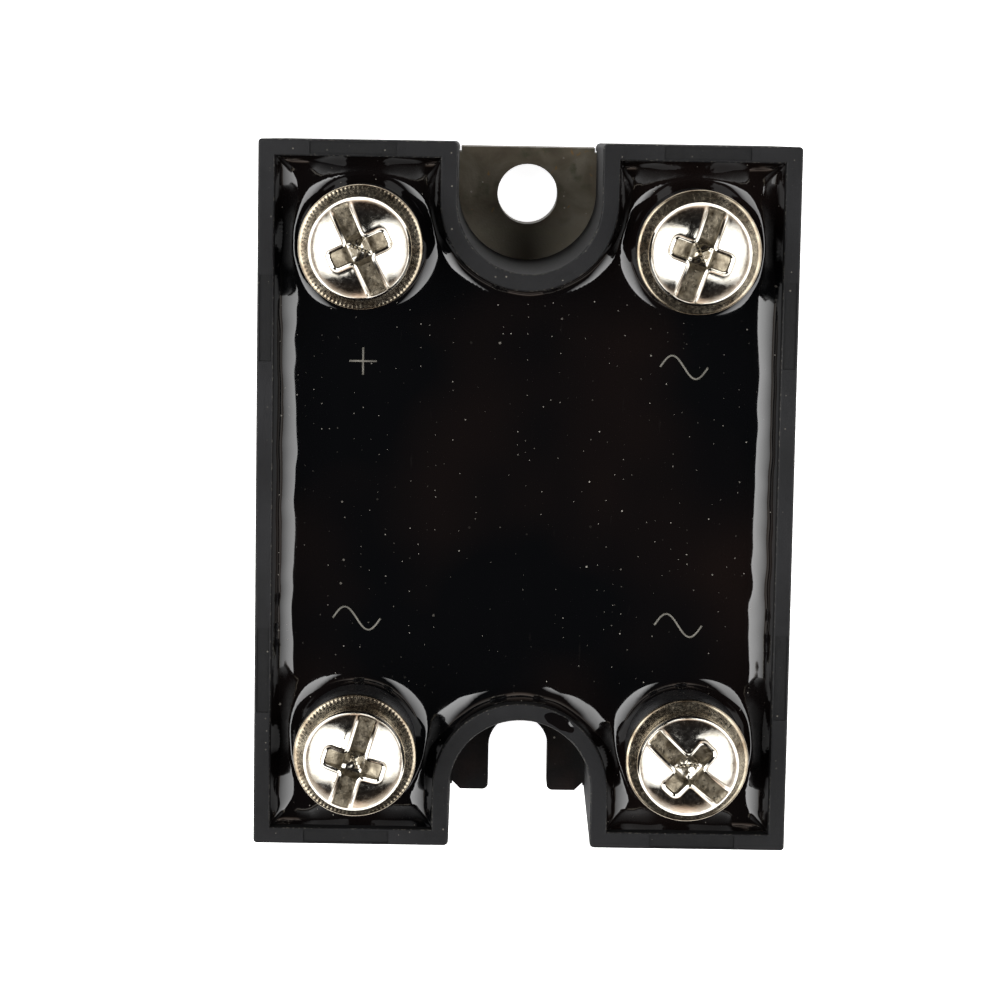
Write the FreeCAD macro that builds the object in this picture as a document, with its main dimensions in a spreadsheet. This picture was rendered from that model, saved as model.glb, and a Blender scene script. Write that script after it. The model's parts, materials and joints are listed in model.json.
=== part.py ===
import FreeCAD, Part
import math
import os
import re
import Sketcher

# Potted three-phase rectifier module in a flat "puck" case, with four screw terminals.
# Frame: X across the case, Y along it, +Z up. The origin is the centre of the base plate's underside,
# so the plate lies on z = 0. Lengths are in millimetres.

DIMENSIONS = {
    # Moulded case: a ring of walls with a U-shaped notch at each end. Its outside is drafted: at the foot
    # each wall stands in from the rim by the draft.
    "case_width": 43.6,
    "case_length": 57.6,
    "case_top": 20.0,
    "case_foot": 0.3,
    "case_wall": 1.35,
    "case_draft": 0.7,
    "corner_radius": 0.3,
    "mouth_radius": 0.4,
    "rim_radius": 0.16,
    "notch_radius": 5.8,
    "notch_depth": 10.55,
    "notch_wall": 1.4,
    "ledge_foot": 3.3,
    "ledge_width": 2.05,
    "ledge_thickness": 1.4,
    "shelf_foot": 10.0,
    "shelf_thickness": 2.0,
    "shelf_inner_x": 4.0,
    "shelf_inner_y": 15.5,
    # Shallow marks that the moulding tool leaves on the rim
    "recess_length": 7.0,
    "recess_width": 1.0,
    "recess_depth": 0.13,
    "recess_short_side": 14.2,
    "recess_long_side": 14.4,
    # Base plate, with a round fixing hole at +Y and an open fixing slot at -Y
    "plate_thickness": 3.0,
    "plate_length": 55.5,
    "plate_gap": 0.15,
    "ear_width": 11.3,
    "ear_chamfer": 0.7,
    "fixing_pitch": 47.6,
    "fixing_radius": 2.54,
    "slot_mouth_radius": 0.5,
    # Fillings
    "resin_top": 17.4,
    # Ceramic tile with its copper and solder layers
    "tile_width": 34.0,
    "tile_length": 28.0,
    "tile_thickness": 0.63,
    "copper_thickness": 0.3,
    "copper_margin": 0.6,
    "solder_thickness": 0.15,
    "pad_gap": 0.9,
    "pad_width": 8.8,
    "pad_length": 8.0,
    # Diode dies and the clips on them
    "die_size": 5.0,
    "die_thickness": 0.3,
    "die_x": 3.4,
    "die_y": 9.6,
    "clip_thickness": 0.4,
    "clip_width": 3.2,
    "clip_rise": 1.4,
    "clip_foot": 1.9,
    # Copper straps from the tile up to the posts
    "strap_thickness": 0.8,
    "strap_width": 6.0,
    "strap_foot": 6.0,
    "strap_riser_y": 13.4,
    "strap_overhang": 3.0,
    # Terminal towers
    "terminal_x": 13.4,
    "terminal_y": 20.5,
    "post_radius": 4.0,
    "post_top": 23.7,
    "post_bore_radius": 2.17,
    "post_bore_depth": 11.0,
    "post_chamfer": 0.3,
    "spigot_radius": 1.9,
    "spigot_length": 3.2,
    "sleeve_radius": 4.8,
    "sleeve_top": 23.4,
    # Conical washer: its outer edge is its low edge
    "washer_radius": 4.97,
    "washer_hole_radius": 2.25,
    "washer_thickness": 0.75,
    "washer_slope": 0.257,
    "washer_gap": 0.04,
    # Number 8-32 screw with a slot and a cross recess
    "screw_gap": 0.03,
    "thread_radius": 2.085,
    "thread_root_radius": 1.65,
    "thread_pitch": 0.79375,
    "shank_length": 9.5,
    "head_radius": 4.1,
    "head_height": 3.05,
    "head_rim_height": 1.45,
    "slot_width": 1.3,
    "slot_depth": 1.35,
    "cross_length": 4.8,
    "cross_depth": 2.0,
}

# Name, side in X, side in Y and direction of the screw's slot in degrees
TERMINALS = (
    ("plus", -1, 1, 115.0),
    ("ac1", 1, 1, 71.0),
    ("ac2", -1, -1, 73.0),
    ("ac3", 1, -1, 138.5),
)
AC_TERMINALS = TERMINALS[1:]
ENDS = (("north", 1), ("south", -1))
THREAD_TURNS = 11
EDGE_MARGIN = 1.0

doc = FreeCAD.newDocument("PowerModule")
sheet = doc.addObject("Spreadsheet::Sheet", "Dims")
for row, (alias, value) in enumerate(DIMENSIONS.items(), start=1):
    sheet.set(f"A{row}", str(value))
    sheet.setAlias(f"A{row}", alias)
doc.recompute()

subparts = []


def on_sheet(formula):
    """The formula with each dimension's name pointing at its cell."""
    return re.sub(r"[a-z]\w*", lambda word: "Dims." + word.group() if word.group() in DIMENSIONS else word.group(),
                  str(formula))


def value_of(formula):
    return float(sheet.evalExpression(on_sheet(formula)))


def bind(item, **formulas):
    """Bind properties of an object; x, y and z are its place."""
    for name, formula in formulas.items():
        target = f"Placement.Base.{name}" if name in ("x", "y", "z") else name
        item.setExpression(target, on_sheet(formula))
    return item


def box(name, x, y, z):
    """A block between two planes in each direction."""
    block = doc.addObject("Part::Box", name)
    bind(block, x=x[0], y=y[0], z=z[0])
    bind(block, Length=f"({x[1]}) - ({x[0]})", Width=f"({y[1]}) - ({y[0]})", Height=f"({z[1]}) - ({z[0]})")
    return block


def centred_box(name, width, length, z):
    return box(name, (f"-({width})/2", f"({width})/2"), (f"-({length})/2", f"({length})/2"), z)


def drafted_box(name, width, length, z, draft):
    """A centred block whose lower end is smaller by the draft on every side."""
    block = doc.addObject("Part::Wedge", name)
    block.Placement = FreeCAD.Placement(FreeCAD.Vector(), FreeCAD.Rotation(FreeCAD.Vector(1, 0, 0), 90))
    half_x = f"({width})/2"
    half_y = f"({length})/2"
    bind(block, Xmin=f"-({half_x} - {draft})", Xmax=f"{half_x} - {draft}",
         Zmin=f"-({half_y} - {draft})", Zmax=f"{half_y} - {draft}",
         X2min=f"-({half_x})", X2max=half_x, Z2min=f"-({half_y})", Z2max=half_y, Ymin=z[0], Ymax=z[1])
    return block


def cylinder(name, radius, x, y, z):
    rod = doc.addObject("Part::Cylinder", name)
    bind(rod, Radius=radius, x=x, y=y, z=z[0], Height=f"({z[1]}) - ({z[0]})")
    return rod


def fuse(name, *pieces):
    joined = doc.addObject("Part::MultiFuse", name)
    joined.Shapes = list(pieces)
    joined.Refine = True
    return joined


def cut(name, base, *tools):
    """The base without the tools."""
    remainder = doc.addObject("Part::Cut", name)
    remainder.Base = base
    remainder.Tool = tools[0] if len(tools) == 1 else fuse(name + "_tools", *tools)
    remainder.Refine = True
    return remainder


def is_upright(edge):
    return abs(edge.tangentAt(edge.FirstParameter).z) > 0.99


def is_at_mouth(edge):
    """Whether it's an upright edge where a notch opens in the end of the case."""
    middle = edge.CenterOfMass
    at_end = abs(middle.y) > value_of("case_length/2 - case_draft")
    return is_upright(edge) and at_end and abs(middle.x) < value_of("notch_radius") + 0.01


def is_on_rim(edge):
    return edge.BoundBox.ZMin > value_of("case_top") - 0.01


def round_edges(name, base, radius_name, wanted):
    """The base with every wanted edge rounded."""
    doc.recompute()
    radius = value_of(radius_name)
    rounded = doc.addObject("Part::Fillet", name)
    rounded.Base = base
    rounded.Edges = [(number, radius, radius) for number, edge in enumerate(base.Shape.Edges, start=1)
                     if wanted(edge)]
    return rounded


def subpart(piece, label):
    piece.Label = label
    subparts.append(piece)
    return piece


def plane_of(body, role):
    return next(feature for feature in body.Origin.OriginFeatures if feature.Role == role)


def new_sketch(body, name, role):
    sketch = body.newObject("Sketcher::SketchObject", name)
    sketch.AttachmentSupport = (plane_of(body, role), [""])
    sketch.MapMode = "FlatFace"
    return sketch


def dimension(sketch, kind, formula, *reference):
    """A constraint whose value follows the sheet."""
    index = sketch.addConstraint(Sketcher.Constraint(kind, *reference, value_of(formula)))
    sketch.setExpression(f"Constraints[{index}]", on_sheet(formula))


def outline(body, name, role, corners):
    """A closed outline, counter-clockwise. A corner (x, y, radius) starts an arc to the next corner,
    which bulges outwards, or inwards where the radius is negative."""
    sketch = new_sketch(body, name, role)
    points = [FreeCAD.Vector(value_of(corner[0]), value_of(corner[1]), 0) for corner in corners]
    starts = []
    for index, corner in enumerate(corners):
        first = points[index]
        last = points[(index + 1) % len(points)]
        if len(corner) == 2:
            sketch.addGeometry(Part.LineSegment(first, last), False)
            starts.append((1, 2))
            continue
        radius = abs(value_of(corner[2]))
        outwards = math.copysign(1.0, value_of(corner[2]))
        chord = last - first
        side = FreeCAD.Vector(chord.y, -chord.x, 0).normalize() * outwards
        centre = (first + last) * 0.5 - side * math.sqrt(max(radius ** 2 - chord.Length ** 2 / 4, 0.0))
        sketch.addGeometry(Part.Arc(first, centre + side * radius, last), False)
        starts.append((1, 2) if outwards > 0 else (2, 1))
    for index, corner in enumerate(corners):
        after = (index + 1) % len(corners)
        sketch.addConstraint(Sketcher.Constraint("Coincident", index, starts[index][1], after, starts[after][0]))
        dimension(sketch, "DistanceX", corner[0], -1, 1, index, starts[index][0])
        dimension(sketch, "DistanceY", corner[1], -1, 1, index, starts[index][0])
        if len(corner) == 3:
            dimension(sketch, "Radius", f"abs({corner[2]})", index)
    return sketch


def circle(body, name, role, x, y, radius):
    sketch = new_sketch(body, name, role)
    middle = FreeCAD.Vector(value_of(x), value_of(y), 0)
    sketch.addGeometry(Part.Circle(middle, FreeCAD.Vector(0, 0, 1), value_of(radius)), False)
    dimension(sketch, "DistanceX", x, -1, 1, 0, 3)
    dimension(sketch, "DistanceY", y, -1, 1, 0, 3)
    dimension(sketch, "Radius", radius, 0)
    return sketch


def pocket(body, name, sketch, depth):
    """Cut upwards from the sketch's plane."""
    feature = body.newObject("PartDesign::Pocket", name)
    feature.Profile = sketch
    feature.Reversed = True
    bind(feature, Length=depth)
    return feature


def turned(name, corners):
    """A body turned about Z from an outline of (radius, height) corners."""
    body = doc.addObject("PartDesign::Body", name)
    sketch = outline(body, name + "_profile", "XZ_Plane", corners)
    revolution = body.newObject("PartDesign::Revolution", name + "_turning")
    revolution.Profile = sketch
    revolution.ReferenceAxis = (sketch, ["V_Axis"])
    revolution.Angle = 360.0
    return body


def at_terminal(piece, side_x, side_y, angle=0.0):
    """Place a piece made on the Z axis at its terminal."""
    piece.Placement = FreeCAD.Placement(FreeCAD.Vector(), FreeCAD.Rotation(FreeCAD.Vector(0, 0, 1), angle))
    return bind(piece, x=f"{side_x} * terminal_x", y=f"{side_y} * terminal_y")


# Heights and distances that several pieces share
NOTCH_CENTRE = "(case_length/2 - notch_depth + notch_radius)"
INNER_WIDTH = "(case_width - 2*case_wall)"
INNER_LENGTH = "(case_length - 2*case_wall)"
SHELF_TOP = "(shelf_foot + shelf_thickness)"
BACK_COPPER_FOOT = "(plate_thickness + solder_thickness)"
TILE_FOOT = "(plate_thickness + solder_thickness + copper_thickness)"
PAD_FOOT = f"({TILE_FOOT} + tile_thickness)"
PAD_TOP = f"({PAD_FOOT} + copper_thickness)"
DIE_FOOT = f"({PAD_TOP} + solder_thickness)"
DIE_TOP = f"({DIE_FOOT} + die_thickness)"
WASHER_UNDERSIDE = "(post_top + washer_gap + post_radius*washer_slope)"
HEAD_FOOT = f"({WASHER_UNDERSIDE} - washer_hole_radius*washer_slope + washer_thickness + screw_gap)"


def notch(name, side, radius, reach, z):
    """The U-shaped column of a notch, from its round end out to the reach along Y."""
    centre = f"{side} * {NOTCH_CENTRE}"
    outside = f"{side} * ({reach})"
    near, far = (centre, outside) if side > 0 else (outside, centre)
    round_end = cylinder(name + "_end", radius, 0, centre, z)
    straight = box(name + "_sides", (f"-({radius})", radius), (near, far), z)
    return fuse(name, round_end, straight)


def notch_wall(name, side, z):
    """The wall round a notch, still solid. It reaches half way into the walls of the case."""
    limit = centred_box(name + "_limit", "case_width", f"{INNER_LENGTH} + case_wall", z)
    wall = doc.addObject("Part::MultiCommon", name)
    column = notch(name + "_column", side, "(notch_radius + notch_wall)", "case_length/2 - case_wall/2", z)
    wall.Shapes = [column, limit]
    return wall


def make_base_plate():
    """Flat plate inside the case's skirt, with an ear in each notch. The south ear's corners are cut off."""
    body = doc.addObject("PartDesign::Body", "base_plate")
    half_width = f"{INNER_WIDTH}/2 - plate_gap"
    shoulder = f"{INNER_LENGTH}/2 - plate_gap"
    ear = "ear_width/2"
    ear_flat = "(ear_width/2 - ear_chamfer)"
    end = "plate_length/2"
    end_side = "(plate_length/2 - ear_chamfer)"
    right_side = [(ear_flat, f"-{end}"), (ear, f"-{end_side}"), (ear, f"-({shoulder})"),
                  (half_width, f"-({shoulder})"), (half_width, shoulder), (ear, shoulder), (ear, end)]
    left_side = [(f"-({x})", y) for x, y in reversed(right_side)]
    pad = body.newObject("PartDesign::Pad", "plate_blank")
    pad.Profile = outline(body, "plate_outline", "XY_Plane", right_side + left_side)
    bind(pad, Length="plate_thickness")
    pocket(body, "fixing_hole",
           circle(body, "hole_circle", "XY_Plane", 0, "fixing_pitch/2", "fixing_radius"), "plate_thickness")
    pocket(body, "slot_end",
           circle(body, "slot_circle", "XY_Plane", 0, "-fixing_pitch/2", "fixing_radius"), "plate_thickness")
    side = "fixing_radius"
    mouth = "(fixing_radius + slot_mouth_radius)"
    beyond = f"-(plate_length/2 + {EDGE_MARGIN})"
    rounding = f"-({end} - slot_mouth_radius)"
    slot_corners = [(f"-{mouth}", beyond), (mouth, beyond), (mouth, f"-{end}", "-slot_mouth_radius"),
                    (side, rounding), (side, "-fixing_pitch/2"), (f"-{side}", "-fixing_pitch/2"),
                    (f"-{side}", rounding, "-slot_mouth_radius"), (f"-{mouth}", f"-{end}")]
    pocket(body, "slot_sides", outline(body, "slot_outline", "XY_Plane", slot_corners), "plate_thickness")
    return subpart(body, "base_plate")


def make_case(notch_voids):
    """Ring of walls, notch walls, ledge on the plate and four shelves that carry the posts."""
    block = drafted_box("case_block", "case_width", "case_length", ("case_foot", "case_top"), "case_draft")
    rounded = round_edges("case_block_rounded", block, "corner_radius", is_upright)
    cavity = centred_box("case_cavity", INNER_WIDTH, INNER_LENGTH,
                         (f"case_foot - {EDGE_MARGIN}", f"case_top + {EDGE_MARGIN}"))
    walls = [cut("case_walls", rounded, cavity)]
    ledge_heights = ("ledge_foot", "ledge_foot + ledge_thickness")
    ledge_block = centred_box("ledge_block", f"{INNER_WIDTH} + case_wall", f"{INNER_LENGTH} + case_wall",
                              ledge_heights)
    ledge_opening = centred_box("ledge_opening", f"{INNER_WIDTH} - 2*ledge_width",
                                f"{INNER_LENGTH} - 2*ledge_width", ledge_heights)
    walls.append(cut("case_ledge", ledge_block, ledge_opening))
    for end, side in ENDS:
        walls.append(notch_wall(f"notch_wall_{end}", side, ("ledge_foot", "case_top")))
    for name, side_x, side_y, _ in TERMINALS:
        spans = []
        for side, inner, outer in ((side_x, "shelf_inner_x", f"{INNER_WIDTH}/2 + case_wall/2"),
                                   (side_y, "shelf_inner_y", f"{INNER_LENGTH}/2 + case_wall/2")):
            spans.append((inner, outer) if side > 0 else (f"-({outer})", f"-({inner})"))
        walls.append(box(f"shelf_{name}", spans[0], spans[1], ("shelf_foot", SHELF_TOP)))
    solid = cut("case_open", fuse("case_solid", *walls), *notch_voids)
    eased = round_edges("case_mouths_rounded", solid, "mouth_radius", is_at_mouth)
    smooth = round_edges("case_rim_rounded", eased, "rim_radius", is_on_rim)
    openings = []
    for name, side_x, side_y, _ in TERMINALS:
        openings.append(cylinder(f"spigot_hole_{name}", "spigot_radius", f"{side_x} * terminal_x",
                                 f"{side_y} * terminal_y", ("shelf_foot", SHELF_TOP)))
        openings.extend(make_rim_recesses(name, side_x, side_y))
    return subpart(cut("case_moulding", smooth, *openings), "housing_frame")


def make_rim_recesses(name, side_x, side_y):
    """Two shallow marks near one corner: one on the short side and one on the long side."""
    heights = ("case_top - recess_depth", f"case_top + {EDGE_MARGIN}")
    short_x = f"{side_x} * recess_short_side"
    short_y = f"{side_y} * (case_length/2 - case_wall/2)"
    long_x = f"{side_x} * (case_width/2 - case_wall/2)"
    long_y = f"{side_y} * recess_long_side"
    half = "recess_length/2"
    thin = "recess_width/2"
    return [box(f"recess_short_{name}", (f"{short_x} - {half}", f"{short_x} + {half}"),
                (f"{short_y} - {thin}", f"{short_y} + {thin}"), heights),
            box(f"recess_long_{name}", (f"{long_x} - {thin}", f"{long_x} + {thin}"),
                (f"{long_y} - {half}", f"{long_y} + {half}"), heights)]


def make_adhesive_bead(notch_voids):
    """Bead that glues the ledge and the notch walls to the plate."""
    heights = ("plate_thickness", "ledge_foot")
    block = centred_box("bead_block", INNER_WIDTH, INNER_LENGTH, heights)
    opening = centred_box("bead_opening", f"{INNER_WIDTH} - 2*ledge_width", f"{INNER_LENGTH} - 2*ledge_width",
                          heights)
    columns = [notch_wall(f"bead_notch_{end}", side, heights) for end, side in ENDS]
    ring = fuse("bead_solid", cut("bead_ring", block, opening), *columns)
    within = doc.addObject("Part::MultiCommon", "bead_within_case")
    within.Shapes = [ring, block]
    return subpart(cut("bead", within, *notch_voids), "housing_adhesive_bead")


def make_tile():
    """Ceramic tile soldered to the plate, copper on both sides."""
    plain = [("substrate_solder", "tile_width - 2*copper_margin", "tile_length - 2*copper_margin",
              ("plate_thickness", BACK_COPPER_FOOT)),
             ("substrate_back_copper", "tile_width - 2*copper_margin", "tile_length - 2*copper_margin",
              (BACK_COPPER_FOOT, TILE_FOOT)),
             ("ceramic_substrate", "tile_width", "tile_length", (TILE_FOOT, PAD_FOOT))]
    layers = [subpart(centred_box(label, width, length, z), label) for label, width, length, z in plain]
    edge_x = "(tile_width/2 - copper_margin)"
    edge_y = "(tile_length/2 - copper_margin)"
    heights = (PAD_FOOT, PAD_TOP)
    cathode_block = box("cathode_block", (f"-{edge_x}", edge_x), (f"-{edge_y}", edge_y), heights)
    clearings = []
    for name, side_x, side_y, _ in AC_TERMINALS:
        for kind, gap in (("island", "0"), ("clearing", "pad_gap")):
            spans = []
            for side, edge, size in ((side_x, edge_x, "pad_width"), (side_y, edge_y, "pad_length")):
                outer = edge if kind == "island" else f"({edge} + {EDGE_MARGIN})"
                inner = f"({edge} - {size} - {gap})"
                spans.append((inner, outer) if side > 0 else (f"-{outer}", f"-{inner}"))
            piece = box(f"{kind}_{name}", spans[0], spans[1], heights)
            if kind == "island":
                layers.append(subpart(piece, f"anode_copper_{name}"))
            else:
                clearings.append(piece)
    layers.append(subpart(cut("cathode_pad", cathode_block, *clearings), "cathode_copper"))
    return layers


def make_diode(name, side_x, side_y):
    """One die with its solder, and the clip that bridges from it to its copper island."""
    x = f"{side_x} * die_x"
    y = f"{side_y} * die_y"
    half = "die_size/2"
    footprint = ((f"{x} - {half}", f"{x} + {half}"), (f"{y} - {half}", f"{y} + {half}"))
    solder = subpart(box(f"solder_{name}", *footprint, (PAD_TOP, DIE_FOOT)), f"die_solder_{name}")
    die = subpart(box(f"die_{name}", *footprint, (DIE_FOOT, DIE_TOP)), f"diode_chip_{name}")
    island_edge = "(tile_width/2 - copper_margin - pad_width)"
    bridge_top = f"({DIE_TOP} + clip_rise)"
    stages = (("on_die", "(die_x - clip_foot/2)", "(die_x + clip_foot/2)",
               (DIE_TOP, f"{DIE_TOP} + clip_thickness")),
              ("inner_riser", "(die_x + clip_foot/2 - clip_thickness)", "(die_x + clip_foot/2)",
               (DIE_TOP, bridge_top)),
              ("bridge", "(die_x + clip_foot/2 - clip_thickness)", f"({island_edge} + 2*clip_thickness)",
               (f"{bridge_top} - clip_thickness", bridge_top)),
              ("outer_riser", f"({island_edge} + clip_thickness)", f"({island_edge} + 2*clip_thickness)",
               (PAD_TOP, bridge_top)),
              ("on_island", f"({island_edge} + clip_thickness)", f"({island_edge} + clip_foot)",
               (PAD_TOP, f"{PAD_TOP} + clip_thickness")))
    bends = []
    for stage, inner, outer, z in stages:
        span = (inner, outer) if side_x > 0 else (f"-{outer}", f"-{inner}")
        bends.append(box(f"clip_{name}_{stage}", span, (f"{y} - clip_width/2", f"{y} + clip_width/2"), z))
    return [solder, die, subpart(fuse(f"clip_{name}", *bends), f"anode_clip_{name}")]


def make_strap(name, side_x, side_y):
    """Copper strap: foot on the tile, riser, and an arm under the shelf that the post is riveted to."""
    x = f"{side_x} * terminal_x"
    across = (f"{x} - strap_width/2", f"{x} + strap_width/2")
    arm = ("shelf_foot - strap_thickness", "shelf_foot")
    stages = (("foot", "(strap_riser_y - strap_foot)", "strap_riser_y", (PAD_TOP, f"{PAD_TOP} + strap_thickness")),
              ("riser", "(strap_riser_y - strap_thickness)", "strap_riser_y", (PAD_TOP, "shelf_foot")),
              ("arm", "(strap_riser_y - strap_thickness)", "(terminal_y + strap_overhang)", arm))
    bends = []
    for stage, near, far, z in stages:
        along = (near, far) if side_y > 0 else (f"-{far}", f"-{near}")
        bends.append(box(f"strap_{name}_{stage}", across, along, z))
    hole = cylinder(f"strap_{name}_hole", "spigot_radius", x, f"{side_y} * terminal_y", arm)
    return subpart(cut(f"strap_{name}", fuse(f"strap_{name}_blank", *bends), hole), f"terminal_strap_{name}")


def make_terminal(name, side_x, side_y, slot_angle):
    """Threaded post in its insulating sleeve, with the washer and screw on top."""
    spigot_foot = f"({SHELF_TOP} - spigot_length)"
    bore_foot = "(post_top - post_bore_depth)"
    post = turned(f"post_{name}", [
        (0, spigot_foot), ("spigot_radius", spigot_foot), ("spigot_radius", SHELF_TOP),
        ("post_radius", SHELF_TOP), ("post_radius", "post_top - post_chamfer"),
        ("post_radius - post_chamfer", "post_top"), ("post_bore_radius", "post_top"),
        ("post_bore_radius", bore_foot), (0, bore_foot)])
    sleeve = turned(f"sleeve_{name}", [
        ("post_radius", SHELF_TOP), ("sleeve_radius", SHELF_TOP),
        ("sleeve_radius", "sleeve_top"), ("post_radius", "sleeve_top")])
    inner_low = f"({WASHER_UNDERSIDE} - washer_hole_radius*washer_slope)"
    outer_low = f"({WASHER_UNDERSIDE} - washer_radius*washer_slope)"
    washer = turned(f"washer_{name}", [
        ("washer_hole_radius", inner_low), ("washer_radius", outer_low),
        ("washer_radius", f"{outer_low} + washer_thickness"),
        ("washer_hole_radius", f"{inner_low} + washer_thickness")])
    at_terminal(subpart(post, f"terminal_post_{name}"), side_x, side_y)
    at_terminal(subpart(sleeve, f"terminal_sleeve_{name}"), side_x, side_y)
    at_terminal(subpart(washer, f"terminal_washer_{name}"), side_x, side_y)
    screw = make_screw(f"screw_{name}")
    at_terminal(subpart(screw, f"terminal_screw_{name}"), side_x, side_y, slot_angle)
    return post


def make_tower_void(name, side_x, side_y):
    """The space in the resin that a post and its sleeve fill."""
    return cylinder(f"tower_void_{name}", "sleeve_radius", f"{side_x} * terminal_x", f"{side_y} * terminal_y",
                    (SHELF_TOP, "post_top"))


def make_screw(name):
    """Domed head with a full slot and a deeper cross bar, and a shank with one ridge for each turn."""
    rim = f"({HEAD_FOOT} + head_rim_height)"
    top = f"({HEAD_FOOT} + head_height)"
    crown = "(head_height - head_rim_height)"
    dome_radius = f"((head_radius*head_radius + {crown}*{crown}) / (2*{crown}))"
    tip = f"({HEAD_FOOT} - shank_length)"
    ridges = []
    for turn in range(THREAD_TURNS):
        ridge = f"({tip} + {turn + 0.5}*thread_pitch)"
        ridges.append(("thread_root_radius", f"{ridge} - thread_pitch/2"))
        ridges.append(("thread_radius", ridge))
    ridges.append(("thread_root_radius", f"{tip} + {THREAD_TURNS}*thread_pitch"))
    body = turned(name, [(0, tip)] + ridges + [
        ("thread_root_radius", HEAD_FOOT), ("head_radius", HEAD_FOOT),
        ("head_radius", rim, dome_radius), (0, top)])
    for label, length, width, depth in (("slot", "2*head_radius + 1", "slot_width", "slot_depth"),
                                        ("cross", "slot_width", "cross_length", "cross_depth")):
        half_x = f"({length})/2"
        half_y = f"({width})/2"
        corners = [(f"-{half_x}", f"-{half_y}"), (half_x, f"-{half_y}"), (half_x, half_y), (f"-{half_x}", half_y)]
        sketch = outline(body, f"{name}_{label}_outline", "XY_Plane", corners)
        sketch.setExpression("AttachmentOffset.Base.z", on_sheet(f"{top} - {depth}"))
        pocket(body, f"{name}_{label}", sketch, depth)
    return body


def make_gel(case, bead, notch_voids, buried):
    """Soft gel over the circuit, up to the shelves."""
    gel_block = centred_box("gel_block", INNER_WIDTH, INNER_LENGTH, ("plate_thickness", "shelf_foot"))
    subpart(cut("gel", gel_block, case, bead, *notch_voids, *buried), "silicone_gel")


def make_resin(case, notch_voids, towers):
    """Hard resin over the gel, round the towers."""
    resin_block = centred_box("resin_block", INNER_WIDTH, INNER_LENGTH, ("shelf_foot", "resin_top"))
    subpart(cut("resin", resin_block, case, *notch_voids, *towers), "potting_resin")


def main():
    voids = [notch(f"notch_void_{end}", side, "notch_radius", f"case_length/2 + {EDGE_MARGIN}",
                   (f"case_foot - {EDGE_MARGIN}", f"case_top + {EDGE_MARGIN}")) for end, side in ENDS]
    make_base_plate()
    case = make_case(voids)
    bead = make_adhesive_bead(voids)
    buried = make_tile()
    posts = []
    towers = []
    for name, side_x, side_y, _ in AC_TERMINALS:
        buried.extend(make_diode(name, side_x, side_y))
    for name, side_x, side_y, slot_angle in TERMINALS:
        buried.append(make_strap(name, side_x, side_y))
        posts.append(make_terminal(name, side_x, side_y, slot_angle))
        towers.append(make_tower_void(name, side_x, side_y))
    make_gel(case, bead, voids, buried + posts)
    make_resin(case, voids, towers + posts)
    doc.recompute()
    failed = [item.Label for item in doc.Objects if "Invalid" in item.State or "Error" in item.State]
    if failed:
        raise RuntimeError("these objects failed: " + ", ".join(failed))
    for piece in subparts:
        if piece.Shape.isNull() or not piece.Shape.isValid() or len(piece.Shape.Solids) != 1:
            raise RuntimeError(piece.Label + " isn't one valid solid")
    os.makedirs("parts", exist_ok=True)
    for piece in subparts:
        piece.Shape.exportStep(f"parts/{piece.Label}.step")
        bounds = piece.Shape.BoundBox
        print(f"{piece.Label:28s} {piece.Shape.Volume:10.2f} mm3  z {bounds.ZMin:6.2f} to {bounds.ZMax:6.2f}")


main()
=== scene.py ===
import json
import math

import bmesh
import bpy
from mathutils import Matrix, Vector, geometry, noise


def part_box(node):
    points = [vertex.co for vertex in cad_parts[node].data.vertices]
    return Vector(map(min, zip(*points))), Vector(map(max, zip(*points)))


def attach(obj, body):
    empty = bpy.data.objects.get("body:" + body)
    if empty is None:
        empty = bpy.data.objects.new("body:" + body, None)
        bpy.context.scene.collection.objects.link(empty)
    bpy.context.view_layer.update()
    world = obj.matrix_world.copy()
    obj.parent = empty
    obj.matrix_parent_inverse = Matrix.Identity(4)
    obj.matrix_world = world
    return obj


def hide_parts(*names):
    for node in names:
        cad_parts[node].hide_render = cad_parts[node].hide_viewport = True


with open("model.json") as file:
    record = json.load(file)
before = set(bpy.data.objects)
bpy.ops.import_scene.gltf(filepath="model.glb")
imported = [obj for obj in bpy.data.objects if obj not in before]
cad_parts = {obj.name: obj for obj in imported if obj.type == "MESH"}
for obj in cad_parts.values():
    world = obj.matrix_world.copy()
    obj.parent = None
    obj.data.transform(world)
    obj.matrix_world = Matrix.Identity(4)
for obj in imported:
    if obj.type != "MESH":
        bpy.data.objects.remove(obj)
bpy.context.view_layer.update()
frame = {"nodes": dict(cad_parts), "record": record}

# Potted rectifier module: looks around the CAD frame. Lengths are metres; MM turns millimetres into metres.
MM = 0.001
TERMINALS = ("plus", "ac1", "ac2", "ac3")
RIBBED_WASHERS = ("plus", "ac2")

# ---------------------------------------------------------------------------------------------------------
# Materials. Textures use object coordinates scaled to millimetres, so noise and speck scales are per
# millimetre. Colours are linear, and dark before light.

SPECK_SMALLEST = 0.35
SPECK_CONTRAST = 1.6
LYING = 0.4
MIX_COLOR_INPUTS = (6, 7)
MIX_COLOR_OUTPUT = 2

CASE_TONES = ((0.0026, 0.0026, 0.0030), (0.0074, 0.0074, 0.0083))
CASE_MARK = (0.0022, 0.0022, 0.0025)
CASE_SCUFF = (0.070, 0.066, 0.056)
# Darker colour that upright faces take: painted shade
CASE_UPRIGHT_SHADE = (0.0015, 0.0015, 0.0017)
CASE_WALL_ROUGHNESS = 0.72
CASE_DUST = (0.14, 0.13, 0.11)

# Depths below the rim, in millimetres: the shallow marks' floors are between two, and wear ends at the third
MARK_LEAST_DEPTH = 0.10
MARK_MOST_DEPTH = 0.15
WORN_DEPTH = 0.17

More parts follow.
